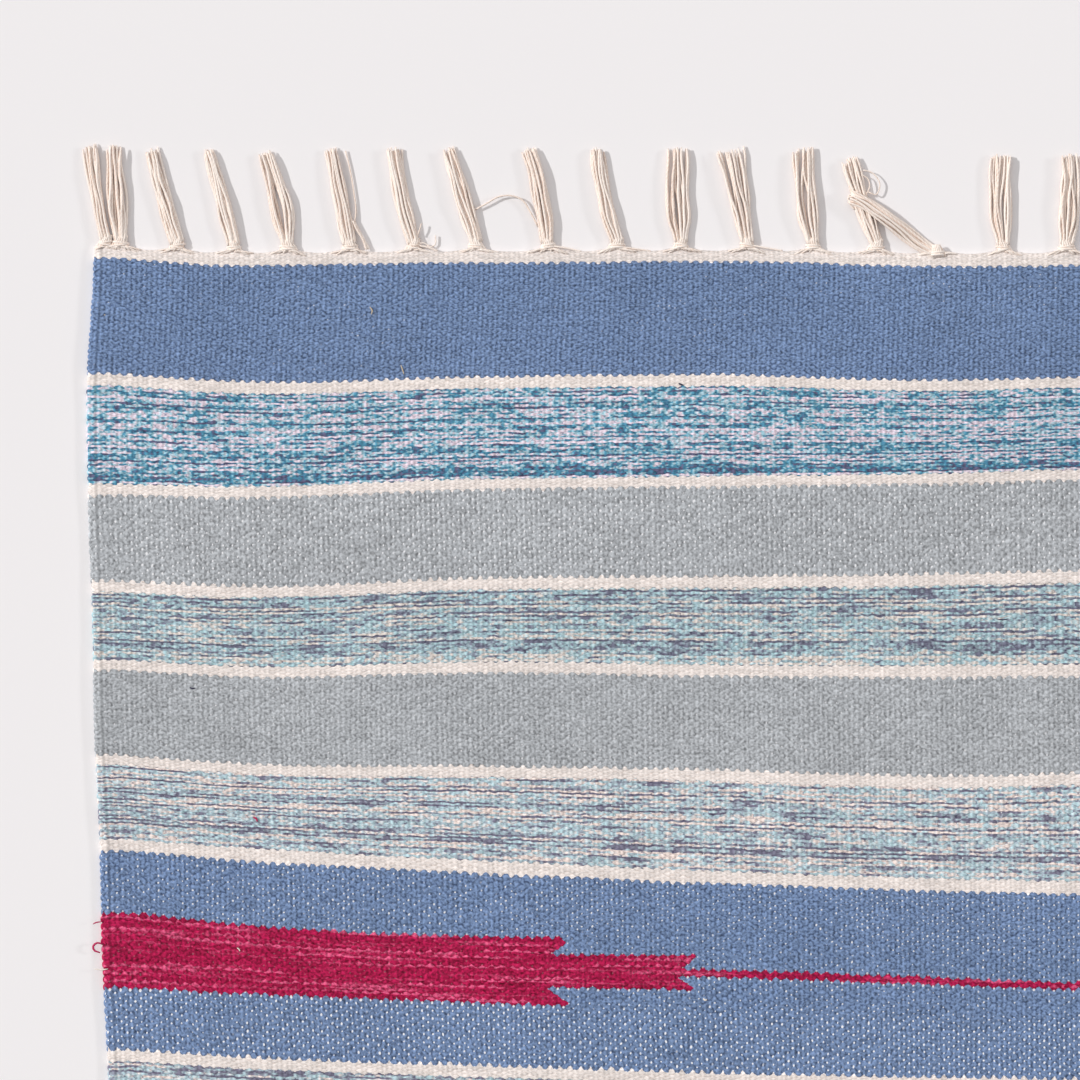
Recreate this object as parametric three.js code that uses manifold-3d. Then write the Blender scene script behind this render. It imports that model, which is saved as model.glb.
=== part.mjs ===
// A flat-woven cotton kilim lying flat: one striped cloth and a knotted warp fringe at each end.
// Millimetres. +Z is up, +Y runs along the length to the end with the crossed tassels.
import * as THREE from 'three';
import { mergeVertices } from 'three/addons/utils/BufferGeometryUtils.js';
import Module from 'manifold-3d';

const wasm = await Module();
wasm.setup();

// Driving sizes: the woven cloth
const WOVEN_WIDTH = 1400;
const WOVEN_LENGTH = 2000;
const CLOTH_THICK = 3.2;
const ACROSS_CELLS = 20;
const ALONG_CELLS = 26;

// The top's shallow swells and the middle crease
const SWELL_HEIGHT = 0.2;
const SWELL_ACROSS = 83;
const SWELL_ALONG = 97;
const SLANT_SHARE = 0.6;
const SLANT_LONG = 141;
const CREASE_DEPTH = 0.3;
const CREASE_HALF_WIDTH = 20;

// The woven heading at each end, a strip of its own beside the cloth
const PART_GAP = 0.3;
const HEADING_THICK = 2.4;
const HEADING_BETWEEN_KNOTS = 8;
const HEADING_AT_KNOTS = 10.7;
const HEADING_RISE_HALF_WIDTH = 20;
const HEADING_FOLLOWS_EDGE = 0.6;

// The knots and the strands of the tassels
const KNOT_FROM_EDGE = 14;
const KNOT_HALF_WIDTH = 5.6;
const KNOT_HALF_LENGTH = 4.6;
const KNOT_HEIGHT = 5;
const KNOT_WAIST_SHARE = 0.5;
const KNOT_TOP_SHARE = 0.55;
const KNOT_SIDES = 5;
const STRANDS_PER_TASSEL = 4;
const STRAND_ROOT_PITCH = 2.6;
const STRAND_GAP = 0.45;
const STRAND_HEIGHT = 2.2;
const STRAND_ROOT_DEPTH = 1;
const STRAND_FIRST_BEND = 5;
const LEAN_AT_FIRST_BEND = 0.06;
const LEAN_AT_MIDDLE = 0.55;
const JOIN_TOLERANCE = 0.02;

const HALF_LENGTH = WOVEN_LENGTH / 2;
const HALF_WIDTH = WOVEN_WIDTH / 2;

// How far each selvedge stands out from the straight, by the distance from the +Y end
const SELVEDGES = [
  { from_end: 0, left: 0, right: 0 },
  { from_end: 100, left: 4.8, right: 2.4 },
  { from_end: 300, left: 0, right: 0 },
  { from_end: 480, left: -5.6, right: -3 },
  { from_end: 600, left: -10.5, right: -5 },
  { from_end: 1000, left: -12, right: -6 },
  { from_end: 1500, left: -6, right: -3 },
  { from_end: 2000, left: 0, right: 0 },
];

// How far each end edge stands out from the straight, by the place across
const END_EDGES = [
  { across: -700, top: 3.6, bottom: 0 },
  { across: -598, top: -2, bottom: 0 },
  { across: -426, top: 0, bottom: -0.8 },
  { across: -255, top: 1, bottom: 0 },
  { across: -84, top: -2.8, bottom: 0.8 },
  { across: 100, top: 0, bottom: 0 },
  { across: 400, top: 0.8, bottom: -0.8 },
  { across: 700, top: 0, bottom: 0 },
];

// Tassels of the +Y end that have their own place and lean, from the left corner to the middle
const TASSELS = [
  { root: -691.9, lean: -10.7, reach: 82, spread: 12 },
  { root: -681.2, lean: -5.7, reach: 82, spread: 14 },
  { root: -640.5, lean: -18.6, reach: 81.5, spread: 12 },
  { root: -600.5, lean: -20, reach: 82, spread: 10 },
  { root: -561.9, lean: -15, reach: 80.5, spread: 11 },
  { root: -517.7, lean: -13.6, reach: 82, spread: 10 },
  { root: -472, lean: -17.1, reach: 82, spread: 10 },
  { root: -427.7, lean: -20, reach: 81.5, spread: 13 },
  { root: -376.3, lean: -12.9, reach: 82, spread: 12 },
  { root: -327, lean: -16.4, reach: 81.5, spread: 10 },
  { root: -281.3, lean: -3.6, reach: 82, spread: 14 },
  { root: -234.2, lean: -13.6, reach: 80.5, spread: 16 },
  { root: -187.1, lean: -7.1, reach: 82, spread: 13 },
  { root: -142.1, lean: -17.1, reach: 75.5, spread: 12 },
  { root: -98.5, lean: -47.1, reach: 74, spread: 11 },
  { root: -51.4, lean: -1.4, reach: 79, spread: 13 },
  { root: -6.4, lean: 0, reach: 78, spread: 13 },
];

// The tassel that is swept against its neighbour: points on its middle line, from its root
const SWEPT_ROOT = -98.5;
const SWEPT_KNOT_FROM_EDGE = 12.5;
const SWEPT_PATH = [
  { aside: 0, from_edge: 13 },
  { aside: -18.5, from_edge: 26 },
  { aside: -40, from_edge: 47 },
  { aside: -47.1, from_edge: 74 },
];

// Plain tassels from the middle to the right corner, evenly set
const PLAIN_COUNT = 14;
const PLAIN_LEANS = [-4, -9, -6, -12, -3, -8, -5];
const PLAIN_REACH = 80;
const PLAIN_SPREAD = 12;
const CORNER_LEANS = [-2, 3];
const STRAIGHT_LEAN_LIMIT = -17;
const STRAIGHT_LEAN = -6;

function smooth(t) {
  return t * t * (3 - 2 * t);
}

function lookUp(table, key, column, at) {
  if (at <= table[0][key]) return table[0][column];
  for (let i = 1; i < table.length; i += 1) {
    const a = table[i - 1];
    const b = table[i];
    if (at <= b[key]) {
      const t = (at - a[key]) / (b[key] - a[key]);
      return a[column] + (b[column] - a[column]) * smooth(t);
    }
  }
  return table[table.length - 1][column];
}

// The end edges run straight between the cloth's columns, so that the headings can follow them
function endEdge(column, x) {
  const cell = WOVEN_WIDTH / ACROSS_CELLS;
  const i = Math.min(ACROSS_CELLS - 1, Math.max(0, Math.floor((x + HALF_WIDTH) / cell)));
  const start = i * cell - HALF_WIDTH;
  const a = lookUp(END_EDGES, 'across', column, start);
  const b = lookUp(END_EDGES, 'across', column, start + cell);
  return a + ((b - a) * (x - start)) / cell;
}

// Places on the cloth: across from -1 to 1, along from 0 at the +Y end to 1
function clothPoint(u, v) {
  const fromEnd = v * WOVEN_LENGTH;
  const left = -HALF_WIDTH - lookUp(SELVEDGES, 'from_end', 'left', fromEnd);
  const right = HALF_WIDTH + lookUp(SELVEDGES, 'from_end', 'right', fromEnd);
  const x = left + ((u + 1) / 2) * (right - left);
  const top = HALF_LENGTH + endEdge('top', HALF_WIDTH * u);
  const bottom = -HALF_LENGTH - endEdge('bottom', HALF_WIDTH * u);
  return [x, top + v * (bottom - top)];
}

function clothTop(x, y) {
  const level = Math.sin(x / SWELL_ACROSS) * Math.cos(y / SWELL_ALONG);
  const slant = SLANT_SHARE * Math.sin((x + y) / SLANT_LONG);
  const crease = Math.max(0, 1 - Math.abs(x) / CREASE_HALF_WIDTH);
  return CLOTH_THICK + SWELL_HEIGHT * (level + slant) - CREASE_DEPTH * crease;
}

function geometryOf(positions, triangles) {
  const g = new THREE.BufferGeometry();
  g.setAttribute('position', new THREE.Float32BufferAttribute(positions, 3));
  g.setIndex(triangles);
  g.computeVertexNormals();
  return g;
}

// The cloth: an uneven top over a level underside, joined by its four thin edges
function clothGeometry() {
  const positions = [];
  const triangles = [];
  const across = ACROSS_CELLS + 1;
  for (let j = 0; j <= ALONG_CELLS; j += 1) {
    for (let i = 0; i <= ACROSS_CELLS; i += 1) {
      const [x, y] = clothPoint(-1 + (2 * i) / ACROSS_CELLS, j / ALONG_CELLS);
      positions.push(x, y, clothTop(x, y));
    }
  }
  const under = positions.length / 3;
  const rim = [];
  for (let i = 0; i < ACROSS_CELLS; i += 1) rim.push(i);
  for (let j = 0; j < ALONG_CELLS; j += 1) rim.push(j * across + ACROSS_CELLS);
  for (let i = ACROSS_CELLS; i > 0; i -= 1) rim.push(ALONG_CELLS * across + i);
  for (let j = ALONG_CELLS; j > 0; j -= 1) rim.push(j * across);
  const outline = [];
  for (const k of rim) {
    positions.push(positions[3 * k], positions[3 * k + 1], 0);
    outline.push(new THREE.Vector2(positions[3 * k], positions[3 * k + 1]));
  }
  for (let j = 0; j < ALONG_CELLS; j += 1) {
    for (let i = 0; i < ACROSS_CELLS; i += 1) {
      const a = j * across + i;
      triangles.push(a, a + across, a + 1, a + 1, a + across, a + across + 1);
    }
  }
  for (let k = 0; k < rim.length; k += 1) {
    const next = (k + 1) % rim.length;
    triangles.push(rim[k], rim[next], under + k, rim[next], under + next, under + k);
  }
  for (const [a, b, c] of THREE.ShapeUtils.triangulateShape(outline, [])) {
    const p = outline[a];
    const q = outline[b];
    const r = outline[c];
    const turn = (q.x - p.x) * (r.y - p.y) - (q.y - p.y) * (r.x - p.x);
    if (turn > 0) triangles.push(under + a, under + c, under + b);
    else triangles.push(under + a, under + b, under + c);
  }
  return geometryOf(positions, triangles);
}

function solidOf(geometry) {
  const bare = geometry.clone();
  bare.deleteAttribute('normal');
  if (bare.getAttribute('uv')) bare.deleteAttribute('uv');
  const merged = mergeVertices(bare, 1e-5);
  return new wasm.Manifold(new wasm.Mesh({
    numProp: 3,
    vertProperties: new Float32Array(merged.getAttribute('position').array),
    triVerts: new Uint32Array(merged.getIndex().array),
  }));
}

function geometryFromSolid(solid) {
  const mesh = solid.getMesh();
  return geometryOf(Array.from(mesh.vertProperties), Array.from(mesh.triVerts));
}

// A closed body through rings of the same number of points, each ring counter-clockwise from the front
function loft(rings) {
  const positions = [];
  const triangles = [];
  const n = rings[0].length;
  for (const ring of rings) for (const p of ring) positions.push(...p);
  for (let r = 0; r + 1 < rings.length; r += 1) {
    for (let i = 0; i < n; i += 1) {
      const a = r * n + i;
      const b = r * n + ((i + 1) % n);
      triangles.push(a, b, b + n, a, b + n, a + n);
    }
  }
  const last = (rings.length - 1) * n;
  for (let i = 1; i + 1 < n; i += 1) {
    triangles.push(0, i + 1, i);
    triangles.push(last, last + i, last + i + 1);
  }
  return geometryOf(positions, triangles);
}

// The level direction to the right of a path at one of its points
function rightOf(path, i) {
  const before = path[Math.max(0, i - 1)];
  const after = path[Math.min(path.length - 1, i + 1)];
  const dx = after[0] - before[0];
  const dy = after[1] - before[1];
  const long = Math.hypot(dx, dy);
  return [dy / long, -dx / long];
}

// One strand: three-sided, its flat side down, along a middle line that lies level
function strand(path, width) {
  const half = width / 2;
  const rings = path.map(([x, y], i) => {
    const [rx, ry] = rightOf(path, i);
    return [
      [x - rx * half, y - ry * half, 0],
      [x, y, STRAND_HEIGHT],
      [x + rx * half, y + ry * half, 0],
    ];
  });
  return loft(rings);
}

function knot(x, y) {
  const ring = (share, z) => {
    const points = [];
    for (let i = 0; i < KNOT_SIDES; i += 1) {
      const a = ((i + 0.5) / KNOT_SIDES) * 2 * Math.PI;
      points.push([
        x + KNOT_HALF_WIDTH * share * Math.cos(a),
        y + KNOT_HALF_LENGTH * share * Math.sin(a),
        z,
      ]);
    }
    return points;
  };
  const waist = KNOT_HEIGHT * KNOT_WAIST_SHARE;
  return loft([ring(1, 0), ring(1, waist), ring(KNOT_TOP_SHARE, KNOT_HEIGHT)]);
}

// The middle line of a tassel, from inside its knot out to the tips, above the end edge
function tasselPath(tassel, swept) {
  if (swept) return SWEPT_PATH.map((p) => [tassel.root + p.aside, p.from_edge]);
  return [
    [tassel.root, KNOT_FROM_EDGE - STRAND_ROOT_DEPTH],
    [tassel.root + tassel.lean * LEAN_AT_FIRST_BEND, KNOT_FROM_EDGE + STRAND_FIRST_BEND],
    [tassel.root + tassel.lean * LEAN_AT_MIDDLE, (KNOT_FROM_EDGE + tassel.reach) / 2],
    [tassel.root + tassel.lean, tassel.reach],
  ];
}

// The strands of one tassel, side by side and apart, spreading to the tips
function tasselStrands(path, spread) {
  const pitchAtTip = spread / STRANDS_PER_TASSEL;
  const width = Math.min(STRAND_ROOT_PITCH, pitchAtTip) - STRAND_GAP;
  const strands = [];
  for (let k = 0; k < STRANDS_PER_TASSEL; k += 1) {
    const place = k - (STRANDS_PER_TASSEL - 1) / 2;
    const line = path.map(([x, y], i) => {
      const [rx, ry] = rightOf(path, i);
      const share = i / (path.length - 1);
      const off = place * (STRAND_ROOT_PITCH + (pitchAtTip - STRAND_ROOT_PITCH) * share);
      return [x + rx * off, y + ry * off];
    });
    strands.push(strand(line, width));
  }
  return strands;
}

// All tassels of one end. The other end repeats them turned about, with none swept aside
function tasselRow(otherEnd) {
  const row = TASSELS.map((t) => ({ ...t }));
  const first = TASSELS[TASSELS.length - 1].root;
  const corner = [-TASSELS[1].root, -TASSELS[0].root];
  for (let i = 1; i <= PLAIN_COUNT; i += 1) {
    const root = first + ((corner[0] - first) * i) / (PLAIN_COUNT + 1);
    const lean = PLAIN_LEANS[i % PLAIN_LEANS.length];
    row.push({ root, lean, reach: PLAIN_REACH, spread: PLAIN_SPREAD });
  }
  corner.forEach((root, i) => {
    row.push({ root, lean: CORNER_LEANS[i], reach: PLAIN_REACH, spread: PLAIN_SPREAD });
  });
  if (otherEnd) {
    for (const t of row) if (t.lean < STRAIGHT_LEAN_LIMIT) t.lean = STRAIGHT_LEAN;
  }
  return row;
}

// The woven heading: a narrow strip that follows the end edge and rises to each knot
function headingGeometry(row, edge) {
  const places = row.map((t) => t.root);
  row.forEach((t, i) => {
    const before = i > 0 ? row[i - 1].root : t.root;
    if (t.root - before > HEADING_RISE_HALF_WIDTH) places.push((t.root + before) / 2);
  });
  for (let i = 0; i <= ACROSS_CELLS; i += 1) {
    places.push(-HALF_WIDTH + (i * WOVEN_WIDTH) / ACROSS_CELLS);
  }
  places.sort((a, b) => a - b);
  const rings = places.map((x) => {
    const off = Math.min(...row.map((t) => Math.abs(t.root - x)));
    const between = smooth(Math.min(1, off / HEADING_RISE_HALF_WIDTH));
    const low = HALF_LENGTH + edge(x) + PART_GAP;
    const rise = HEADING_AT_KNOTS + (HEADING_BETWEEN_KNOTS - HEADING_AT_KNOTS) * between;
    const high = HALF_LENGTH + rise + HEADING_FOLLOWS_EDGE * edge(x);
    return [[x, low, 0], [x, high, 0], [x, high, HEADING_THICK], [x, low, HEADING_THICK]];
  });
  return loft(rings);
}

// One end's fringe: its heading with every knot and strand joined to it
function fringeGeometry(otherEnd) {
  const row = tasselRow(otherEnd);
  const column = otherEnd ? 'bottom' : 'top';
  const edge = (x) => endEdge(column, otherEnd ? -x : x);
  let whole = solidOf(headingGeometry(row, edge));
  for (const t of row) {
    const swept = !otherEnd && t.root === SWEPT_ROOT;
    const base = HALF_LENGTH + HEADING_FOLLOWS_EDGE * edge(t.root);
    const path = tasselPath(t, swept).map(([x, y]) => [x, base + y]);
    whole = whole.add(solidOf(knot(t.root, base + (swept ? SWEPT_KNOT_FROM_EDGE : KNOT_FROM_EDGE))));
    for (const s of tasselStrands(path, t.spread)) whole = whole.add(solidOf(s));
  }
  const geometry = geometryFromSolid(whole.asOriginal().simplify(JOIN_TOLERANCE));
  if (otherEnd) geometry.rotateZ(Math.PI);
  return geometry;
}

function part(name, geometry, colour, roughness) {
  const material = new THREE.MeshStandardMaterial({ color: colour, roughness, metalness: 0 });
  const mesh = new THREE.Mesh(geometry, material);
  mesh.name = name;
  return mesh;
}

const cloth = clothGeometry();
const fringeTop = fringeGeometry(false);
const fringeBottom = fringeGeometry(true);

// The middle of the whole box is the origin
const box = new THREE.Box3();
for (const g of [cloth, fringeTop, fringeBottom]) {
  g.computeBoundingBox();
  box.union(g.boundingBox);
}
const middle = box.getCenter(new THREE.Vector3());
for (const g of [cloth, fringeTop, fringeBottom]) g.translate(-middle.x, -middle.y, 0);

const group = new THREE.Group();
group.name = 'kilim';
group.add(part('cloth', cloth, 0x8f9aab, 0.92));
group.add(part('fringe_top', fringeTop, 0xe2d6c8, 0.95));
group.add(part('fringe_bottom', fringeBottom, 0xe2d6c8, 0.95));

export default group;
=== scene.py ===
"""A flat-woven striped cotton kilim, seen from straight above its far left corner.

Lengths are written in millimetres and turned into metres when a mesh is made.
"""

import math
import random
from collections import namedtuple

import bpy
import numpy as np
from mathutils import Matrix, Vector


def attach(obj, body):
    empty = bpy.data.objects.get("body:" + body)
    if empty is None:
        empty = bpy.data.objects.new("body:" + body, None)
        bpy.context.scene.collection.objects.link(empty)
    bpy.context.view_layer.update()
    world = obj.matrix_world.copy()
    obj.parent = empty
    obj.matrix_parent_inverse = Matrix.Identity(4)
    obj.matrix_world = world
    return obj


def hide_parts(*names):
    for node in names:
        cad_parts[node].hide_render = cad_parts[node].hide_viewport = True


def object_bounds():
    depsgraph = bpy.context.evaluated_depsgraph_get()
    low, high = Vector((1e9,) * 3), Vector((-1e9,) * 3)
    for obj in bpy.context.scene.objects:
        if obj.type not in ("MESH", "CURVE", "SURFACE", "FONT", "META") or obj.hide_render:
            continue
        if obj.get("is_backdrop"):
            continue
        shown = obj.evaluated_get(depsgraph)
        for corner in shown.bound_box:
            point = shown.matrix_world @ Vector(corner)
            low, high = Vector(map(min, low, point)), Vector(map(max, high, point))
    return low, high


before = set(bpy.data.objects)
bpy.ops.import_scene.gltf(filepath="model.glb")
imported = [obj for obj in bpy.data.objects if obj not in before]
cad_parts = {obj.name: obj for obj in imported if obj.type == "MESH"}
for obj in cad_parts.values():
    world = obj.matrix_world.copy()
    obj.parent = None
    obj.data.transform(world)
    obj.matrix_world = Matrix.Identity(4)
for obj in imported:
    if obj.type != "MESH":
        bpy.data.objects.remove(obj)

CAD_LOW, CAD_HIGH = (list(c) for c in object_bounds())
MM = 0.001
rng = random.Random(41)

# The weave
WOVEN_WIDTH = 1400.0
WOVEN_LENGTH = 2000.0
HALF_WIDTH = WOVEN_WIDTH / 2
HALF_LENGTH = WOVEN_LENGTH / 2
WARP_PITCH = 3.63
WOVEN_WARPS = round(WOVEN_WIDTH / WARP_PITCH)
CLOTH_TOP = 3.1
MIDDLE_Y = 1000 * (CAD_HIGH[1] + CAD_LOW[1]) / 2 - 0.94

# Bands from the heading to the middle of the length: name, length along, number of picks, yarn, how
# much warp shows, and how wide the cream line beyond it is
BANDS = [
    ("heading", 10.0, 8, "cream", 0.0, 0),
    ("blue_end", 82.0, 42, "blue", 0.16, 8.0),
    ("teal", 63.5, 32, "teal", 0.12, 7.5),
    ("grey_1", 64.0, 22, "grey", 0.75, 8.0),
    ("pale_1", 53.0, 24, "deep", 0.2, 8.0),
    ("grey_2", 66.5, 28, "grey", 0.4, 7.5),
    ("pale_2", 60.5, 28, "pale", 0.32, 9.0),
    ("blue_above", 43.0, 18, "blue", 0.6, 0),
    ("bar", 49.0, 20, "blue", 0.5, 0),
    ("blue_below", 44.5, 16, "blue", 0.88, 8.0),
    ("pale_3", 60.5, 28, "pale", 0.3, 8.0),
    ("grey_3", 66.5, 28, "grey", 0.4, 8.0),
    ("pale_4", 53.0, 24, "deep", 0.2, 8.0),
    ("grey_4", 64.0, 22, "grey", 0.75, 8.0),
    ("teal_2", 63.5, 32, "teal", 0.12, 8.0),
    ("blue_middle", 71.0, 34, "blue", 0.16, 0),
]
LINE_PICKS = 6
HEADING = BANDS[0][1]

# How far each selvedge stands out from the straight: from the end, left, right
SELVEDGES = [
    (0, 0, 0), (100, 4.8, 2.4), (300, 0, 0), (480, -5.6, -3),
    (600, -10.5, -5), (1000, -12, -6), (1500, -6, -3), (2000, 0, 0),
]

# How far each end edge stands out from the straight: across, top, bottom
END_EDGES = [
    (-700, 3.6, 0), (-598, -2, 0), (-426, 0, -0.8), (-255, 1, 0),
    (-84, -2.8, 0.8), (100, 0, 0), (400, 0.8, -0.8), (700, 0, 0),
]

# How far each stripe sags below its level at these places across the left half
SAG_PLACES = (-683, -598, -426, -255, -84, -12)
SAGS = [
    (86, (-2.5, 2.9, 0, -1.9, 1.8, -0.3)),
    (157, (4.6, 6.2, 0.8, -1.6, -3.8, -5.9)),
    (229, (2.3, 5.9, 0.4, -1.2, -2.7, -4.8)),
    (290, (-3.4, 1.3, -1.5, 0.6, 1.3, 0.6)),
    (364, (-9.4, -3.3, -1.2, 1.7, 6.3, 4.5)),
    (433, (-17.8, -11.4, -2.1, 5.4, 11.1, 12.8)),
    (480, (-17.4, -7.8, 0.1, 2.5, 8.2, 10.7)),
    (529, (-13, -8.4, -1.9, 2.5, 8.2, 10.7)),
    (578, (-12.2, -7, -0.8, 4.4, 7.1, 8.5)),
    (700, (-6, -3, 0, 2, 3, 3.5)),
    (850, (-2, -1, 0, 0.5, 1, 1)),
    (1000, (0, 0, 0, 0, 0, 0)),
]
RIGHT_SAG_SHARE = 0.65

# The crimson bar, by picks from its middle line and by how far in from the middle of the width its
# parts end: half its picks, where the inner edge of its prong starts, and where the prong's tip is
BAR_STEPS = [(1, 0.0, 0.0), (5, 285.5, 273.5), (10, 380.0, 366.5)]


def smooth(t):
    return t * t * (3 - 2 * t)


def look_up(table, column, at):
    """The table's column at a place, eased between its rows."""
    places = [row[0] for row in table]
    at = min(max(at, places[0]), places[-1])
    for a, b in zip(table, table[1:]):
        if at <= b[0]:
            return a[column] + (b[column] - a[column]) * smooth((at - a[0]) / (b[0] - a[0]))
    return table[-1][column]


def through(places, values, at):
    """A smooth curve through the values, at every place in the array at."""
    places = np.asarray(places, float)
    values = np.asarray(values, float)
    slopes = np.gradient(values, places)
    at = np.clip(at, places[0], places[-1])
    i = np.clip(np.searchsorted(places, at) - 1, 0, len(places) - 2)
    span = places[i + 1] - places[i]
    t = (at - places[i]) / span
    return (
        (2 * t**3 - 3 * t**2 + 1) * values[i]
        + (t**3 - 2 * t**2 + t) * span * slopes[i]
        + (3 * t**2 - 2 * t**3) * values[i + 1]
        + (t**3 - t**2) * span * slopes[i + 1]
    )


def linear(red, green, blue):
    """A colour as seen on a screen, turned into the linear one that a shader takes."""
    def one(c):
        c = c / 255
        return c / 12.92 if c <= 0.04045 else ((c + 0.055) / 1.055) ** 2.4
    return (one(red), one(green), one(blue), 1.0)


def band_starts():
    """Where each band and line starts, in millimetres from the end edge and in picks from the
    heading's free edge."""
    at, pick, out = -HEADING, 0, []
    for name, long, picks, yarn, fleck, line in BANDS:
        out.append((name, at, pick, yarn, fleck))
        at += long
        pick += picks
        if line:
            out.append(("line", at, pick, "cream", 0.0))
            at += line
            pick += LINE_PICKS
    out.append(("end", at, pick, None, None))
    return out


STARTS = band_starts()
MARKS = [s[1] for s in STARTS]
PICK_MARKS = [s[2] for s in STARTS]
HALF_PICKS = PICK_MARKS[-1]
ALL_PICKS = 2 * HALF_PICKS
# A colour ramp is read in 256 steps: two picks for each, so a band has an even number of picks
RAMP_PICKS = 512.0
BAR_MIDDLE = next(s[2] for s in STARTS if s[0] == "bar") + BAR_STEPS[-1][0]


def pick_at(t):
    """The pick coordinate at a distance t from the top end edge."""
    near = np.interp(np.minimum(t, WOVEN_LENGTH - t), MARKS, PICK_MARKS)
    return np.where(t <= HALF_LENGTH, near, ALL_PICKS - near)


# The tassels of the photographed end: where each is rooted, how far it leans by its tips, its reach,
# its width at the tips and midway, how far its middle bows to the right, and how far its yarns part
Tassel = namedtuple("Tassel", "root lean reach tips middle bow parted")
TASSELS = [
    (-691.9, -11.2, 82, 10, 7.4, -0.7, 0),
    (-681.2, -5.2, 82, 14, 12, -0.7, 0.8),
    (-640.5, -18.6, 81.5, 9.2, 9.2, -1, 0),
    (-600.5, -18.6, 82, 9.2, 10, 0.8, 0),
    (-561.9, -15, 80.5, 12, 14, 2, 1.5),
    (-517.7, -13.6, 82, 8.8, 10.8, 0, 0),
    (-472, -15.4, 82, 8.8, 10, -1.5, 0),
    (-427.7, -20, 81.5, 10, 11.4, 0, 0),
    (-376.3, -13.4, 82, 10, 9.6, 2, 0.5),
    (-327, -14.6, 81.5, 10, 10, -2, 0),
    (-281.3, -3.2, 82, 15.5, 14.5, -1, 1),
    (-234.2, -13.6, 80.5, 19, 12, 0.3, 0),
    (-187.1, -6.2, 82, 17, 12.8, -1.5, 1),
    (-142.1, -19.5, 75.5, 11.5, 11, -1, 0),
    (-98.5, -54, 74, 10, 10.5, 0, 0.3),
    (-51.4, -1.4, 79, 17, 13, -1.4, 0.8),
    (-6.4, 1.4, 78, 15.5, 13, 1.8, 1),
]
SWEPT_ROOT = -98.5
SWEPT_PATH = [(0, 8), (-13, 16), (-27, 27.5), (-41, 38.5), (-52, 46.5), (-62, 51.5)]
PLAIN_COUNT = 14
PLAIN_LEANS = [-4, -9, -6, -12, -3, -8, -5]
PLAIN_REACH = 80
PLAIN_SPREAD = 12
PLAIN_BOWS = [0.8, -1.2, 0.3, 1.6, -0.6]
PLAIN_PARTED = 0.4
CORNER_LEANS = [-2, 3]
STRAIGHT_LEAN_LIMIT = -17
STRAIGHT_LEAN = -6
KNOT_FROM_EDGE = 14.0
SWEPT_KNOT_FROM_EDGE = 10.5
HEADING_BETWEEN_KNOTS = 8.0
HEADING_AT_KNOTS = 10.7
HEADING_RISE_HALF_WIDTH = 20.0
HEADING_FOLLOWS_EDGE = 0.6


def tassel_row(other_end):
    row = [Tassel(*values) for values in TASSELS]
    first = row[-1].root
    corner = [-row[1].root, -row[0].root]
    roots = [first + (corner[0] - first) * i / (PLAIN_COUNT + 1) for i in range(1, PLAIN_COUNT + 1)]
    leans = [PLAIN_LEANS[i % len(PLAIN_LEANS)] for i in range(1, PLAIN_COUNT + 1)]
    for i, (root, lean) in enumerate(zip(roots + corner, leans + CORNER_LEANS)):
        bow = PLAIN_BOWS[i % len(PLAIN_BOWS)]
        row.append(Tassel(root, lean, PLAIN_REACH, PLAIN_SPREAD, PLAIN_SPREAD, bow, PLAIN_PARTED))
    if other_end:
        row = [t._replace(lean=STRAIGHT_LEAN) if t.lean < STRAIGHT_LEAN_LIMIT else t for t in row]
    return row


def end_edge(x, other_end):
    return look_up(END_EDGES, 2 if other_end else 1, -x if other_end else x)


# The cloth's shape
def heading_rise(x, other_end, row):
    off = min(abs(t.root - x) for t in row)
    between = smooth(min(1, off / HEADING_RISE_HALF_WIDTH))
    rise = HEADING_AT_KNOTS + (HEADING_BETWEEN_KNOTS - HEADING_AT_KNOTS) * between
    return rise - (1 - HEADING_FOLLOWS_EDGE) * end_edge(x, other_end)


def sag_at(x, t):
    """How far the weave sags towards the far end at x across and t from the top edge."""
    marks = [0.0] + [row[0] for row in SAGS]
    left = -np.abs(x)
    rows = [np.array([-look_up(END_EDGES, 1, v) for v in x])]
    share = np.where(x < 0, 1.0, 1 - (1 - RIGHT_SAG_SHARE) * np.clip(x / 400, 0, 1))
    for _, values in SAGS:
        rows.append(through(SAG_PLACES, values, left) * share)
    rows = np.array(rows)
    out = np.empty((len(t), len(x)))
    for i in range(len(x)):
        out[:, i] = through(marks, rows[:, i], np.clip(t, 0, HALF_LENGTH))
    far_edge = np.array([look_up(END_EDGES, 2, v) for v in x])
    far = np.clip((t - HALF_LENGTH) / HALF_LENGTH, 0, 1)[:, None]
    return out + far**3 * far_edge[None, :]


SWELL_HEIGHT, SWELL_ACROSS, SWELL_ALONG, SLANT_LONG = 0.2, 83, 97, 141
# Shorter waves, by length and height. Each runs in three random directions
WAVES = ((61, 0.16), (37, 0.12), (23, 0.08), (14, 0.05))


def swell(x, y):
    """The cloth's gentle unevenness, in millimetres."""
    level = np.sin(x / SWELL_ACROSS) * np.cos(y / SWELL_ALONG)
    out = SWELL_HEIGHT * (level + 0.6 * np.sin((x + y) / SLANT_LONG))
    for long, height in WAVES:
        for _ in range(3):
            a, shift = rng.uniform(0, 2 * math.pi), rng.uniform(0, 2 * math.pi)
            out = out + height * np.sin((x * math.cos(a) + y * math.sin(a)) / long * 2 + shift)
    return out


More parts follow.
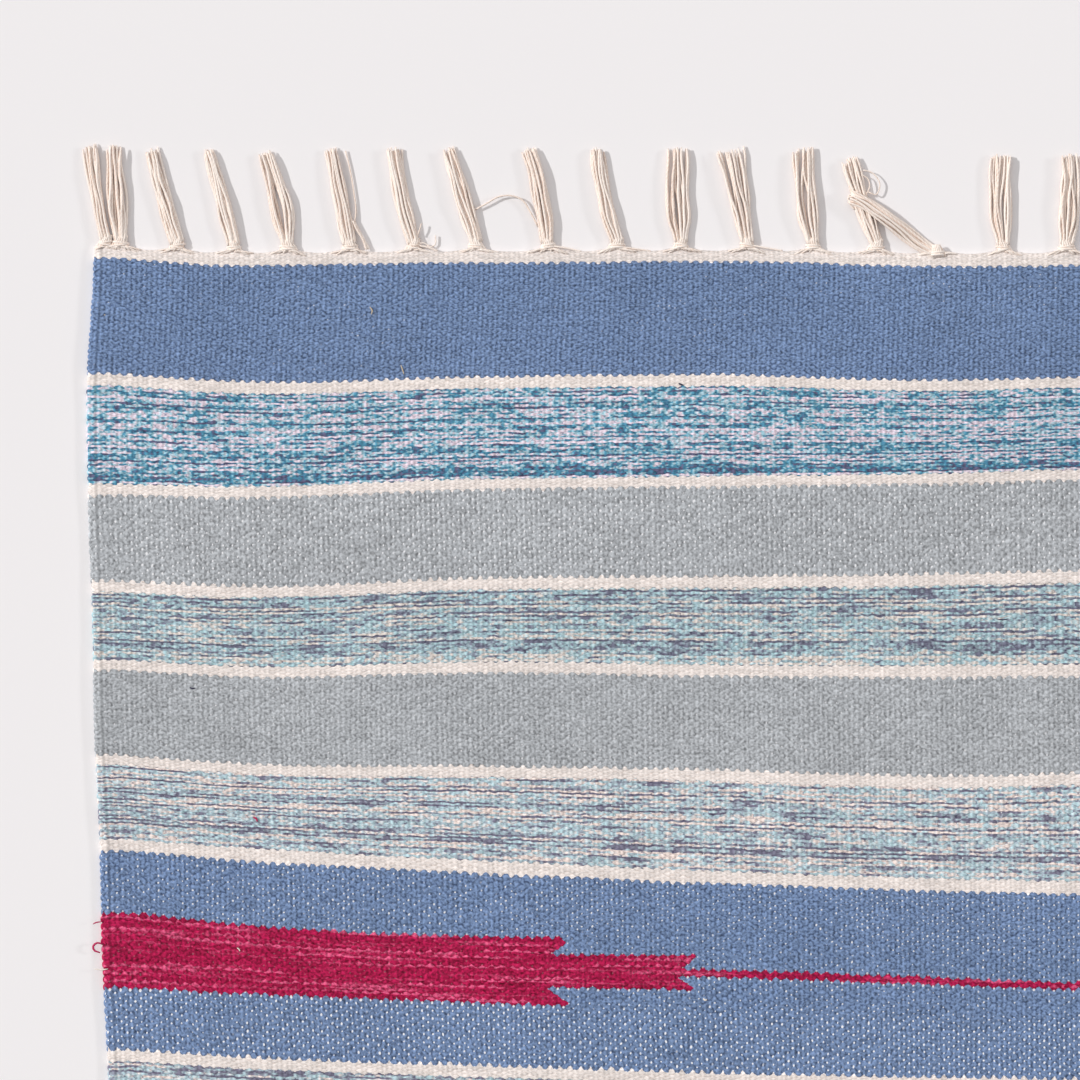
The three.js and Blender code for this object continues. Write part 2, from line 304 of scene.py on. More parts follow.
def clouds(u, v, wide, long):
    """Soft random patches about wide by long in size, from -1 to 1."""
    u, v = np.broadcast_arrays(np.asarray(u) / wide, np.asarray(v) / long)
    i, j = np.floor(u).astype(int), np.floor(v).astype(int)
    i, j = i - i.min(), j - j.min()
    grid = np.array([[rng.uniform(-1, 1) for _ in range(j.max() + 2)] for _ in range(i.max() + 2)])
    p, q = smooth(u - np.floor(u)), smooth(v - np.floor(v))
    near = grid[i, j] * (1 - q) + grid[i, j + 1] * q
    far = grid[i + 1, j] * (1 - q) + grid[i + 1, j + 1] * q
    return near * (1 - p) + far * p


CREASE_DEPTH, CREASE_WIDTH, CREASE_WANDER = 0.7, 6, 2.5
RIDGE_HEIGHT, RIDGE_WIDTH, RIDGE_FROM_CREASE = 0.25, 8, 17


def crease(x, y):
    """The middle fold: a shallow trough with a soft ridge each side of it."""
    off = x - CREASE_WANDER * np.sin(y / 160)
    ridges = RIDGE_HEIGHT * np.exp(-(((np.abs(off) - RIDGE_FROM_CREASE) / RIDGE_WIDTH) ** 2))
    return ridges - CREASE_DEPTH * np.exp(-((off / CREASE_WIDTH) ** 2))


def mesh_object(name, points, faces, **uv_of_corner):
    """A mesh from millimetre points, its faces, and a UV for each corner in face order."""
    mesh = bpy.data.meshes.new(name)
    mesh.from_pydata([tuple(p) for p in np.asarray(points) * MM], [], faces)
    for layer_name, values in uv_of_corner.items():
        layer = mesh.uv_layers.new(name=layer_name)
        layer.data.foreach_set("uv", np.asarray(values, np.float32).ravel())
    mesh.polygons.foreach_set("use_smooth", [True] * len(mesh.polygons))
    mesh.update()
    obj = bpy.data.objects.new(name, mesh)
    bpy.context.scene.collection.objects.link(obj)
    return obj


ACROSS_CELLS = 232
ROW_STEP = 5.05
UNDER_STEP = 8


def cloth_rows():
    """Distances from the top end edge for the mesh's rows, with one on every band's edge."""
    marks = MARKS + [WOVEN_LENGTH - m for m in MARKS[-2::-1]]
    rows = [marks[0]]
    for a, b in zip(marks, marks[1:]):
        steps = max(1, round((b - a) / ROW_STEP))
        rows += [a + (b - a) * (i + 1) / steps for i in range(steps)]
    return np.array(rows)


def cloth_surface():
    """Points, warp and pick coordinates of the cloth's top, row by row."""
    t = cloth_rows()
    s = np.linspace(-HALF_WIDTH, HALF_WIDTH, ACROSS_CELLS + 1)
    left = np.array([-HALF_WIDTH - look_up(SELVEDGES, 1, v) for v in t])
    right = np.array([HALF_WIDTH + look_up(SELVEDGES, 2, v) for v in t])
    x = left[:, None] + (s[None, :] + HALF_WIDTH) / WOVEN_WIDTH * (right - left)[:, None]
    y = HALF_LENGTH - t[:, None] - sag_at(s, t)
    near, far = tassel_row(False), tassel_row(True)
    top = np.array([heading_rise(v, False, near) for v in s])
    bottom = np.array([heading_rise(-v, True, far) for v in s])
    edge = np.array([end_edge(v, False) for v in s])
    low_edge = np.array([look_up(END_EDGES, 2, v) for v in s])
    for j in np.where(t < 0)[0]:
        y[j] = HALF_LENGTH + edge + top * (-t[j] / HEADING)
    for j in np.where(t > WOVEN_LENGTH)[0]:
        y[j] = -HALF_LENGTH - low_edge - bottom * ((t[j] - WOVEN_LENGTH) / HEADING)
    y = y + MIDDLE_Y
    z = CLOTH_TOP + swell(x, y) + crease(x, y)
    thin = np.clip((np.minimum(t, WOVEN_LENGTH - t) + HEADING) / (2 * HEADING), 0, 1)[:, None]
    z = z * (0.8 + 0.2 * thin)
    # The warps wander a little, and the picks are beaten unevenly
    a = ((s + HALF_WIDTH) / WARP_PITCH)[None, :]
    b = pick_at(t)[:, None]
    inside = np.clip((HALF_WIDTH - np.abs(s)) / 20, 0, 1)[None, :]
    warp = a + inside * (0.35 * clouds(a, b, 30, 60) + 0.15 * clouds(a, b, 9, 40))
    pick = b + 0.22 * clouds(a, b, 14, 3.5) + 0.14 * clouds(a, b, 5, 2.2)
    patch = 0.5 + 0.25 * clouds(a, b, 40, 70) + 0.25 * clouds(a, b, 13, 22)
    gaping = 0.5 + 0.3 * clouds(a, b, 25, 14) + 0.2 * clouds(a, b, 6, 6)
    return x, y, z, warp, pick, patch, gaping


def build_cloth():
    x, y, z, warp, pick, patch, gaping = cloth_surface()
    rows, columns = x.shape
    top = np.stack([x, y, z], -1).reshape(-1, 3)
    weave_uv = np.stack([warp, pick], -1).reshape(-1, 2)
    wear_uv = np.stack([patch, gaping], -1).reshape(-1, 2)

    def at(j, i):
        return j * columns + i

    faces = [
        (at(j, i), at(j + 1, i), at(j + 1, i + 1), at(j, i + 1))
        for j in range(rows - 1)
        for i in range(columns - 1)
    ]
    # The underside has a vertex under every rim vertex, and coarse cells between them
    keep_row = sorted({*range(0, rows, UNDER_STEP), rows - 1})
    keep_column = sorted({*range(0, columns, UNDER_STEP), columns - 1})
    under, extra = {}, []
    for j in range(rows):
        for i in range(columns):
            on_rim = j in (0, rows - 1) or i in (0, columns - 1)
            if on_rim or (j in keep_row and i in keep_column):
                under[j, i] = len(top) + len(extra)
                extra.append((j, i))
    low = np.array([(x[j, i], y[j, i], 0.0) for j, i in extra])
    above = [at(j, i) for j, i in extra]
    points = np.concatenate([top, low])
    weave_uv = np.concatenate([weave_uv, weave_uv[above]])
    wear_uv = np.concatenate([wear_uv, wear_uv[above]])
    for j0, j1 in zip(keep_row, keep_row[1:]):
        for i0, i1 in zip(keep_column, keep_column[1:]):
            ring = [(j0, i) for i in range(i0, i1)] + [(j, i1) for j in range(j0, j1)]
            ring += [(j1, i) for i in range(i1, i0, -1)] + [(j, i0) for j in range(j1, j0, -1)]
            faces.append(tuple(under[c] for c in ring if c in under))
    rim = [(0, i) for i in range(columns - 1)] + [(j, columns - 1) for j in range(rows - 1)]
    rim += [(rows - 1, i) for i in range(columns - 1, 0, -1)] + [(j, 0) for j in range(rows - 1, 0, -1)]
    for p, q in zip(rim, rim[1:] + rim[:1]):
        faces.append((at(*p), at(*q), under[q], under[p]))
    corners = np.concatenate([list(f) for f in faces])
    return mesh_object("cloth_woven", points, faces, weave=weave_uv[corners], wear=wear_uv[corners])


# Tubes of yarn, gathered into one mesh
class YarnMesh:
    def __init__(self):
        self.points, self.faces, self.corners = [], [], []
        self.count = self.yarns = 0

    def tube(self, path, radius, sides=6, flat=1.0, uv=None):
        """A tube along path, closed at both ends. flat squashes it in height. uv(share along,
        share around) gives its coordinates; without it they are the yarn's number and its length."""
        path = np.asarray(path, float)
        n = len(path)
        radius = np.broadcast_to(np.asarray(radius, float), (n,))
        ahead = np.gradient(path, axis=0)
        ahead /= np.linalg.norm(ahead, axis=1)[:, None] + 1e-9
        side = np.cross(ahead, (0.0, 0.0, 1.0))
        bare = np.linalg.norm(side, axis=1) < 0.05
        side[bare] = np.cross(ahead[bare], (0.0, 1.0, 0.0))
        side /= np.linalg.norm(side, axis=1)[:, None]
        over = np.cross(side, ahead)
        angles = np.arange(sides) / sides * 2 * math.pi
        ring = (
            np.cos(angles)[None, :, None] * side[:, None, :]
            + flat * np.sin(angles)[None, :, None] * over[:, None, :]
        )
        points = path[:, None, :] + ring * radius[:, None, None]
        long = np.concatenate([[0], np.cumsum(np.linalg.norm(np.diff(path, axis=0), axis=1))])
        start = self.count
        self.points.append(points.reshape(-1, 3))
        self.count += n * sides

        def place(i, k):
            if uv is None:
                return (self.yarns + (0.05 + 0.9 * k / sides), long[i])
            return uv(i / (n - 1), k / sides)

        for i in range(n - 1):
            for k in range(sides):
                m = (k + 1) % sides
                a, b = start + i * sides, start + (i + 1) * sides
                self.faces.append((a + k, b + k, b + m, a + m))
                self.corners += [place(i, k), place(i + 1, k), place(i + 1, k + 1), place(i, k + 1)]
        for i, order in ((0, range(sides)), (n - 1, range(sides - 1, -1, -1))):
            self.faces.append(tuple(start + i * sides + k for k in order))
            self.corners += [place(i, k) for k in order]
        self.yarns += 1

    def build(self, name):
        points = np.concatenate(self.points)
        wear = np.full((len(self.corners), 2), 0.5)
        return mesh_object(name, points, self.faces, weave=self.corners, wear=wear)


def curve(points, steps):
    """steps + 1 points on a smooth curve through the given ones."""
    points = np.asarray(points, float)
    gaps = np.linalg.norm(np.diff(points, axis=0), axis=1)
    at = np.concatenate([[0], np.cumsum(gaps)])
    along = np.linspace(0, at[-1], steps + 1)
    return np.stack([through(at, points[:, k], along) for k in range(3)], -1)


YARN_RADIUS = 0.92
YARN_STEPS = 24
# For each layer of a tassel: its yarns, how high they lie, and how much of the width they take
LAYERS = [
    (7, 0.92, 1.0),
    (5, 2.1, 0.85),
    (3, 3.2, 0.55),
]
WIDEST_AT = 0.28
YARN_STOPS = 11
KNOT_HALF_WIDTH = 3.7
KNOT_MIDDLE = 2.0


def tassel_centre(tassel, share, swept):
    """The tassel's middle line from its knot, at a share of its length."""
    if swept:
        places = np.linspace(0, 1, len(SWEPT_PATH))
        x, y = (through(places, values, np.array([share]))[0] for values in zip(*SWEPT_PATH))
        return tassel.root + x, y
    x = tassel.root + tassel.lean * share + tassel.bow * math.sin(math.pi * share)
    return x, KNOT_FROM_EDGE + (tassel.reach - KNOT_FROM_EDGE) * share


def across_tassel(tassel, share, swept):
    """The middle line's point at a share of its length, and the way to its right."""
    x, y = tassel_centre(tassel, share, swept)
    ahead_x, ahead_y = tassel_centre(tassel, min(1, share + 0.02), swept)
    back_x, back_y = tassel_centre(tassel, max(0, share - 0.02), swept)
    long = math.hypot(ahead_x - back_x, ahead_y - back_y)
    return x, y, (ahead_y - back_y) / long, (back_x - ahead_x) / long


def add_tassel(yarns, tassel, base, swept, lift):
    """The loose yarns of one tassel, in layers that lie on the floor."""
    middle_half = tassel.middle / 2 - 0.3
    tip_half = tassel.tips / 2 - 0.4
    parting = rng.uniform(-0.45, 0.2)
    for count, low, share_of_width in LAYERS:
        for i in range(count):
            across = (2 * i / (count - 1) - 1) * share_of_width + rng.uniform(-0.14, 0.14)
            at_knot = rng.uniform(-1, 1) * 0.8 + across * KNOT_HALF_WIDTH
            midway = across * middle_half
            at_tip = (across * 0.8 + rng.uniform(-0.35, 0.35)) * tip_half
            swing, turns, shift = rng.uniform(0.2, 0.75), rng.uniform(0.9, 2.2), rng.uniform(0, 6.28)
            cut = rng.uniform(-3.4, 0.8)
            arch = rng.uniform(0, 0.9)
            aside = -tassel.parted if across < parting else 0.6 * tassel.parted
            path = []
            for share in np.linspace(0, 1, YARN_STOPS):
                x, y, right_x, right_y = across_tassel(tassel, share, swept)
                early = smooth(min(1, share / WIDEST_AT))
                late = smooth(max(0, (share - WIDEST_AT) / (1 - WIDEST_AT)))
                off = at_knot + (midway - at_knot) * early + (at_tip - midway) * late
                off += swing * math.sin(share * turns * 6.28 + shift) * min(1, 4 * share)
                off += aside * math.sin(math.pi * min(1, share / 0.85)) ** 2
                # The yarns leave the knot at its middle height and come down to their layers
                leave = smooth(max(0.0, 1 - share / 0.2))
                height = low + (KNOT_MIDDLE - 0.7 * low) * leave
                height += arch * math.sin(math.pi * share) + lift(share)
                y += HALF_LENGTH + base + cut * share
                path.append((x + right_x * off, y + right_y * off, height))
            uneven = [rng.uniform(-1, 1) for _ in range(YARN_STEPS + 1)]
            radius = YARN_RADIUS * (1 + 0.08 * np.array(uneven))
            radius[-3:] *= (0.92, 0.78, 0.5)
            yarns.tube(curve(path, YARN_STEPS), radius)


KNOT_CORE_RADII = np.array([2.2, 4.6, 4.9, 4.2, 3.5, 2.9, 1.8])
KNOT_STRANDS = 6
KNOT_WRAPS = 2
KNOT_STOPS = 7


def add_knot(knots, x, y, lift=0.0):
    """An overhand knot, narrow above and wide at the heading: strands laid slantwise over a filled
    middle, with wraps across its foot."""
    size = rng.uniform(0.88, 1.1)
    slant = rng.choice((-1, 1)) * rng.uniform(1.6, 3.4)
    y += HALF_LENGTH
    shares = [k / (KNOT_STOPS - 1) for k in range(KNOT_STOPS)]
    core = [(x, y - 4.2 + 8.6 * share, 2.1 + lift) for share in shares]
    knots.tube(core, KNOT_CORE_RADII * size, sides=8, flat=0.39)
    for w in range(KNOT_STRANDS):
        off = 2 * w / (KNOT_STRANDS - 1) - 1
        path = []
        for down in shares:
            wide = (2.5 + 2.4 * down) * size
            px = x + off * wide + slant * (down - 0.5)
            pz = 0.9 + 2.7 * math.sqrt(1 - (0.86 * off) ** 2) * math.sin(0.5 + 2.2 * down)
            path.append((px, y + 4.3 - 8.0 * down, pz + lift))
        knots.tube(curve(path, 10), 0.95)
    for w in range(KNOT_WRAPS):
        tilt = rng.uniform(-1.2, 1.2)
        path = []
        for share in shares:
            px = x - math.cos(math.pi * share) * 5.2 * size
            py = y - 2.6 + 1.7 * w - math.cos(math.pi * share) * tilt
            path.append((px, py, 0.8 + 3.0 * math.sin(math.pi * share) + lift))
        knots.tube(curve(path, 10), 0.9)


FAN_ENDS = 12
FAN_LIMIT = 699.0


def add_fan(knots, x, y, free_edge):
    """The warp ends that come along the heading's free edge and gather into the knot."""
    for k in range(FAN_ENDS):
        share = 2 * k / (FAN_ENDS - 1) - 1
        reach = math.copysign(3.0 + 10.5 * abs(share) + rng.uniform(-1.5, 1.5), share)
        reach = min(max(x + reach, -FAN_LIMIT), FAN_LIMIT) - x
        start_y = HALF_LENGTH + free_edge(x + reach) - rng.uniform(0.6, 3.0)
        half_way = HALF_LENGTH + free_edge(x + reach * 0.55) - rng.uniform(0.0, 1.6)
        end_y = HALF_LENGTH + y - rng.uniform(1.2, 3.0)
        low = 2.6 + rng.uniform(-0.2, 0.4)
        path = [
            (x + reach, start_y, low - 0.5),
            (x + reach * 0.78, 0.6 * start_y + 0.4 * half_way, low + 0.3),
            (x + reach * 0.45, 0.7 * half_way + 0.3 * end_y, low + 0.6),
            (x + share * 2.4, end_y, 2.8),
        ]
        knots.tube(curve(path, 8), 0.66, sides=5)


def move_points(obj, change):
    """Changes an object's points, given in metres as rows."""
    co = np.empty(len(obj.data.vertices) * 3, np.float32)
    obj.data.vertices.foreach_get("co", co)
    co = co.reshape(-1, 3)
    change(co)
    obj.data.vertices.foreach_set("co", co.ravel())
    obj.data.update()


SWEPT_RISE = 3.4


def fringe(name, other_end):
    row = tassel_row(other_end)
    yarns, knots = YarnMesh(), YarnMesh()

    def free_edge(x):
        return end_edge(x, other_end) + heading_rise(x, other_end, row)

    def swept_lift(share):
        """The swept tassel climbs over its neighbour."""
        return SWEPT_RISE * smooth(min(1, max(0, (share - 0.25) / 0.35)))

    for tassel in row:
        root = tassel.root
        swept = not other_end and root == SWEPT_ROOT
        base = HEADING_FOLLOWS_EDGE * end_edge(root, other_end)
        knot_y = base + (SWEPT_KNOT_FROM_EDGE if swept else KNOT_FROM_EDGE)
        add_tassel(yarns, tassel, base, swept, swept_lift if swept else lambda share: 0.0)
        add_knot(knots, root, knot_y - 0.6, 1.4 if swept else 0.0)
        add_fan(knots, root, knot_y - 2.0, free_edge)
    if not other_end:
        add_strays(yarns)
    made = []
    for kind, mesh in (("tassels", yarns), ("knots", knots)):
        obj = mesh.build(f"{kind}_{name}")
        if other_end:
            move_points(obj, lambda co: np.multiply(co[:, :2], -1, out=co[:, :2]))
        move_points(obj, lambda co: np.add(co[:, 1], MIDDLE_Y * MM, out=co[:, 1]))
        made.append(obj)
    return made


# Single ends that stand out of the tassels: radius, then points in millimetres from the end edge
STRAYS = [
    (0.6, [(-428.4, 37.8, 1.6), (-420.5, 42.1, 2), (-410.6, 47.4, 2.4), (-402, 47.8, 2.4),
           (-394.8, 45, 2.2), (-389.1, 36.4, 1.8), (-383.4, 25.7, 1.4)]),
    (0.85, [(-515.5, 30, 2.4), (-513, 24.5, 2.6), (-508.5, 17, 2.2), (-505.6, 9.5, 2)]),
    (0.85, [(-514.3, 29, 1.4), (-510.9, 22.5, 1.6), (-507, 15, 1.4), (-504.2, 9.8, 1.5)]),
    (0.5, [(-520.8, 80, 0.8), (-517.5, 66, 0.8), (-514.8, 50, 0.9), (-513.4, 36, 1.1),
           (-514.6, 27, 2)]),
    (0.7, [(-480.5, 81, 0.8), (-479.4, 66, 0.8), (-476.4, 50, 0.8), (-473.4, 34, 1),
           (-471.4, 24, 2)]),
    (0.5, [(-470, 13.5, 2.6), (-464.5, 14, 2.4), (-460, 11.4, 1.8), (-457.3, 12.6, 1.4),
           (-456.6, 19.6, 1.4)]),
    (0.45, [(-469, 20, 3), (-467.4, 25, 3.4), (-466.6, 28, 3.2)]),
    (0.7, [(-470, 12.5, 2.6), (-462, 11, 2.6), (-455, 8.6, 2)]),
    (0.7, [(-374, 12, 2.6), (-364, 10.6, 2.6), (-352.5, 8, 1.8)]),
    (0.6, [(-325, 11.6, 2.6), (-314, 9.9, 2.4), (-303, 8.4, 1.8)]),
    (0.7, [(-232, 12.6, 2.6), (-222, 10.8, 2.6), (-209, 8.6, 1.8)]),
    (0.45, [(-151.5, 66, 2.6), (-146.6, 65, 2.6), (-139.6, 55.5, 2.8), (-142.4, 48.5, 2.8),
            (-148, 50.5, 3.6)]),
    (0.45, [(-153, 63, 3), (-148.2, 60, 2.8), (-146.9, 54.6, 3), (-149, 49.2, 4)]),
    (0.6, [(-157.4, 49, 3.4), (-161.8, 47.6, 3), (-161.4, 43, 2.6), (-157.6, 38, 2.2)]),
    (0.6, [(-158.4, 47, 4.6), (-162.4, 46, 4), (-160.4, 42, 3.6)]),
]


def add_strays(yarns):
    for radius, points in STRAYS:
        lifted = [(x, HALF_LENGTH + y, z) for x, y, z in points]
        yarns.tube(curve(lifted, 16), radius)


# The weft turning back at the selvedges
LOOP_HEIGHT = 1.6
LOOP_INSET = 0.7
LOOP_FLATNESS = 1.1


def build_selvedges():
    loops = YarnMesh()
    t_of_pick = np.interp(np.arange(HALF_PICKS + 1), PICK_MARKS, MARKS)
    picks = np.concatenate([t_of_pick, WOVEN_LENGTH - t_of_pick[-2::-1]])
    turn = np.linspace(-math.pi / 2, math.pi / 2, 7)
    for side in (-1, 1):
        edge_x = np.array([side * HALF_WIDTH])
        for j in range(1 + (side > 0), ALL_PICKS - 2, 2):
            middle = (picks[j] + picks[j + 2]) / 2
            if middle < 0 or middle > WOVEN_LENGTH:
                continue
            pitch = (picks[j + 2] - picks[j]) / 2
            x = side * (HALF_WIDTH + look_up(SELVEDGES, 1 if side < 0 else 2, middle))
            y = HALF_LENGTH - middle - sag_at(edge_x, np.array([middle]))[0, 0] + MIDDLE_Y
            out = rng.uniform(0.5, 1.1)
            heights = [LOOP_HEIGHT + rng.uniform(-0.15, 0.15) for _ in turn]
            across = x + side * (np.cos(turn) * out - LOOP_INSET)
            path = np.stack([across, y - np.sin(turn) * pitch * 0.62, heights], -1)
            wide = pitch * rng.uniform(0.42, 0.52)
            warp = -float(j % 2) if side < 0 else WOVEN_WARPS + (WOVEN_WARPS + j) % 2

            def place(long, around, j=j, warp=warp):
                return warp + 0.3 * (around - 0.5), j + 0.5 + 0.7 * (long - 0.5)

            loops.tube(path, wide, flat=LOOP_FLATNESS / max(wide, 0.6), uv=place)
    return loops.build("selvedges")


# Loose ends of weft and slubs on the face: colour, radius, then points on each
SLUBS = [
    ("tan", 0.45, [(-503.4, -31.5), (-501.6, -34.5), (-502.4, -37)]),
    ("tan", 0.4, [(-481.2, -73), (-479.8, -77), (-479, -79.5)]),
    ("tan", 0.5, [(-693, -37), (-691.6, -37.6)]),
    ("dark", 0.6, [(-283.2, -86), (-281, -87), (-279.8, -87.2)]),
    ("dark", 0.6, [(-631.8, -303), (-629.6, -303.6), (-628, -303.4)]),
    ("dark", 0.55, [(-406.4, -254.8), (-403, -255.4), (-401.8, -255.2)]),
    ("dark", 0.6, [(-57, -254), (-51.5, -254.6), (-48, -254)]),
    ("crimson", 0.7, [(-586.6, -395.5), (-584.4, -396.4), (-583.6, -398.6)]),
    ("crimson", 0.8, [(-694, -486), (-697.6, -485), (-700.6, -487.4), (-700.2, -490), (-695.6, -492)]),
    ("crimson", 0.5, [(-695, -470), (-698.6, -470.6), (-700.8, -471.6)]),
    ("cream", 0.5, [(-598, -488.6), (-596.6, -489.6), (-596, -491)]),
    ("cream", 0.7, [(-265.6, -524.6), (-264.4, -525.8), (-262.8, -525.6)]),
    ("cream", 0.5, [(-700, -503.6), (-694, -504.2), (-690, -503.6)]),
]
SLUB_STEPS = 8


def build_slubs(colour):
    ends = YarnMesh()
    for _, radius, points in (s for s in SLUBS if s[0] == colour):
        path = [(x, HALF_LENGTH + y + MIDDLE_Y, CLOTH_TOP + 0.35) for x, y in points]
        taper = radius * np.sin(np.linspace(0.35, math.pi - 0.35, SLUB_STEPS + 1)) ** 0.6
        ends.tube(curve(path, SLUB_STEPS), taper, flat=0.8)
    return ends.build(f"slubs_{colour}")


# Node graphs written as formulas
def operator(name, turned=False):
    def apply(self, other):
        return self.graph.math(name, other, self) if turned else self.graph.math(name, self, other)
    return apply


class Value:
    """An output in a node graph. A number can be added, multiplied and compared as usual."""

    def __init__(self, graph, socket):
        self.graph = graph
        self.socket = socket

    def __abs__(self):
        return self.graph.math("ABSOLUTE", self)

    __add__ = operator("ADD")
    __sub__ = operator("SUBTRACT")
    __rsub__ = operator("SUBTRACT", True)
    __mul__ = operator("MULTIPLY")
    __truediv__ = operator("DIVIDE")
    __gt__ = operator("GREATER_THAN")
    __lt__ = operator("LESS_THAN")


class Graph:
    def __init__(self, material):
        material.use_nodes = True
        self.tree = material.node_tree
        self.tree.nodes.clear()

    def made(self, kind, names, values, output=0, **settings):
        """One output of a new node. Its named inputs are linked, or set where a value is a constant."""
        node = self.tree.nodes.new(kind)
        for key, value in settings.items():
            setattr(node, key, value)
        for name, value in zip(names, values):
            if isinstance(value, Value):
                self.tree.links.new(value.socket, node.inputs[name])
            else:
                node.inputs[name].default_value = value
        return Value(self, node.outputs[output])

    def math(self, operation, *values):
        return self.made("ShaderNodeMath", range(len(values)), values, operation=operation)

    def most(self, a, b):
        return self.math("MAXIMUM", a, b)

    def least(self, a, b):
        return self.math("MINIMUM", a, b)

    def parity(self, whole):
        """0 for an even number, and 1 for an odd one."""
        return self.math("FRACT", whole * 0.5) * 2.0

    def ramp(self, value, low, high, out_low=0.0, out_high=1.0, eased=True):
        names = ("Value", "From Min", "From Max", "To Min", "To Max")
        values = (value, low, high, out_low, out_high)
        curve_kind = "SMOOTHSTEP" if eased else "LINEAR"
        return self.made("ShaderNodeMapRange", names, values, "Result", interpolation_type=curve_kind)

    def blend(self, share, a, b):
        """Between two numbers."""
        return self.made("ShaderNodeMix", (0, 2, 3), (share, a, b), data_type="FLOAT")

    def colour(self, share, a, b, way="MIX"):
        """Between two colours."""
        return self.made("ShaderNodeMix", (0, 6, 7), (share, a, b), 2, data_type="RGBA", blend_type=way)

    def tinted(self, colour, tint):
        return self.colour(1.0, colour, tint, "MULTIPLY")

    def dimmed(self, colour, light):
        return self.tinted(colour, self.vector(light, light, light))

    def vector(self, x, y, z=0.0):
        return self.made("ShaderNodeCombineXYZ", range(3), (x, y, z))

    def split(self, vector):
        first = self.made("ShaderNodeSeparateXYZ", [0], [vector])
        return [Value(self, part) for part in first.socket.node.outputs]

    def uv(self, name):
        return self.split(self.made("ShaderNodeUVMap", [], [], "UV", uv_map=name))

    def randoms(self, x, y, z):
        """Three random numbers for a place."""
        at = self.vector(x, y, z)
        return self.split(self.made("ShaderNodeTexWhiteNoise", ["Vector"], [at], "Color"))

    def noise(self, vector, detail, output="Fac"):
        names = ("Vector", "Scale", "Detail")
        return self.made("ShaderNodeTexNoise", names, (vector, 1.0, detail), output)

    def three_noises(self, vector):
        return self.split(self.noise(vector, 0.0, "Color"))

    def stops(self, value, stops, hard=False):
        """A colour ramp from (place, colour) stops."""
        made = self.made("ShaderNodeValToRGB", ["Fac"], [value], "Color")
        ramp = made.socket.node.color_ramp
        ramp.interpolation = "CONSTANT" if hard else "LINEAR"
        while len(ramp.elements) > 1:
            ramp.elements.remove(ramp.elements[-1])
        ramp.elements[0].position, ramp.elements[0].color = stops[0]
        for place, tone in stops[1:]:
            ramp.elements.new(place).color = tone
        return made

    def hard_parts(self, value, stops):
        """The three numbers that a ramp without blending gives."""
        return self.split(self.stops(value, stops, hard=True))

    def surface(self, names, values):
        """Ends the graph in a surface with these inputs."""
        shader = self.made("ShaderNodeBsdfPrincipled", names, values)
        out = self.tree.nodes.new("ShaderNodeOutputMaterial")
        self.tree.links.new(shader.socket, out.inputs["Surface"])

    def cotton(self, colour, roughness, relief, strength, distance, sheen=0.0):
        """Ends the graph in a dull surface with a bump."""
        names = ("Height", "Strength", "Distance")
        normal = self.made("ShaderNodeBump", names, (relief, strength, distance), "Normal")
        names = ("Base Color", "Roughness", "Normal", "Specular IOR Level", "Sheen Weight")
        self.surface(names, (colour, roughness, normal, 0.2, sheen))


# Each yarn: its colour, or what tints its strands where it is mixed; the painted shade in the gaps
# between its floats, as what is left of the light there; how light the painted shade of its seams is,
# how deep the painted shade of its ribs looks and how rough it is
MIXED_GAP_SHADE = (0.38, 0.36, 0.42, 1.0)
MIXED_LOOK = (0.0, 0.17, 0.3, 1.0)
YARNS = {
    "cream": (linear(236, 227, 223), (0.92, 0.88, 0.85, 1.0), (1.0, 0.07, 0.26, 1.0)),
    "blue": (linear(115, 137, 174), (0.56, 0.59, 0.66, 1.0), (0.0, 0.17, 0.74, 1.0)),
    "grey": (linear(175, 179, 184), (0.76, 0.75, 0.75, 1.0), (0.0, 0.12, 0.56, 1.0)),
    "teal": ((1.0, 0.95, 0.955, 1.0), (0.36, 0.40, 0.46, 1.0), MIXED_LOOK),
    "pale": ((1.0, 1.0, 1.0, 1.0), MIXED_GAP_SHADE, MIXED_LOOK),
    "deep": ((0.88, 0.94, 0.94, 1.0), MIXED_GAP_SHADE, MIXED_LOOK),
}
MIXED_YARNS = ("teal", "pale", "deep")
# The strands of the mixed yarns from the lightest, and those of the crimson from the darkest
TEAL_STRANDS = [
    (0.0, linear(240, 228, 240)),
    (0.41, linear(230, 219, 233)),
    (0.45, linear(190, 216, 228)),
    (0.50, linear(150, 198, 214)),
    (0.54, linear(84, 154, 182)),
    (0.60, linear(70, 122, 153)),
    (0.65, linear(96, 98, 128)),
    (1.0, linear(80, 82, 110)),
]
PALE_STRANDS = [
    (0.0, linear(248, 230, 220)),
    (0.40, linear(238, 222, 216)),
    (0.44, linear(212, 218, 222)),
    (0.50, linear(182, 212, 220)),
    (0.56, linear(168, 182, 194)),
    (0.62, linear(122, 120, 140)),
    (1.0, linear(92, 90, 112)),
]
CRIMSON_STRANDS = [
    (0.0, linear(124, 8, 46)),
    (0.42, linear(154, 18, 64)),
    (0.55, linear(178, 26, 78)),
    (1.0, linear(198, 40, 96)),
]
# Painted shade in the gaps between the crimson floats
CRIMSON_GAP_SHADE = (0.44, 0.30, 0.34, 1.0)
PINK = linear(222, 92, 134)
WARP_COLOUR = linear(242, 243, 247)
GROOVE_AT = 1.45
STRANDS_PER_PICK = 1.5


def in_bar(g, inward, q):
    """1 where a float belongs to the crimson bar: inward is how far it is from the middle of the
    width, and q how many picks from the bar's middle line."""
    before = BAR_STEPS[0][0]
    inside = q < before
    for picks, notch, tip in BAR_STEPS[1:]:
        end = g.ramp(q, before + 0.5, picks - 1.0, notch, tip, eased=False)
        inside = g.most(inside, (q < picks) * (inward > end))
        before = picks
    return inside


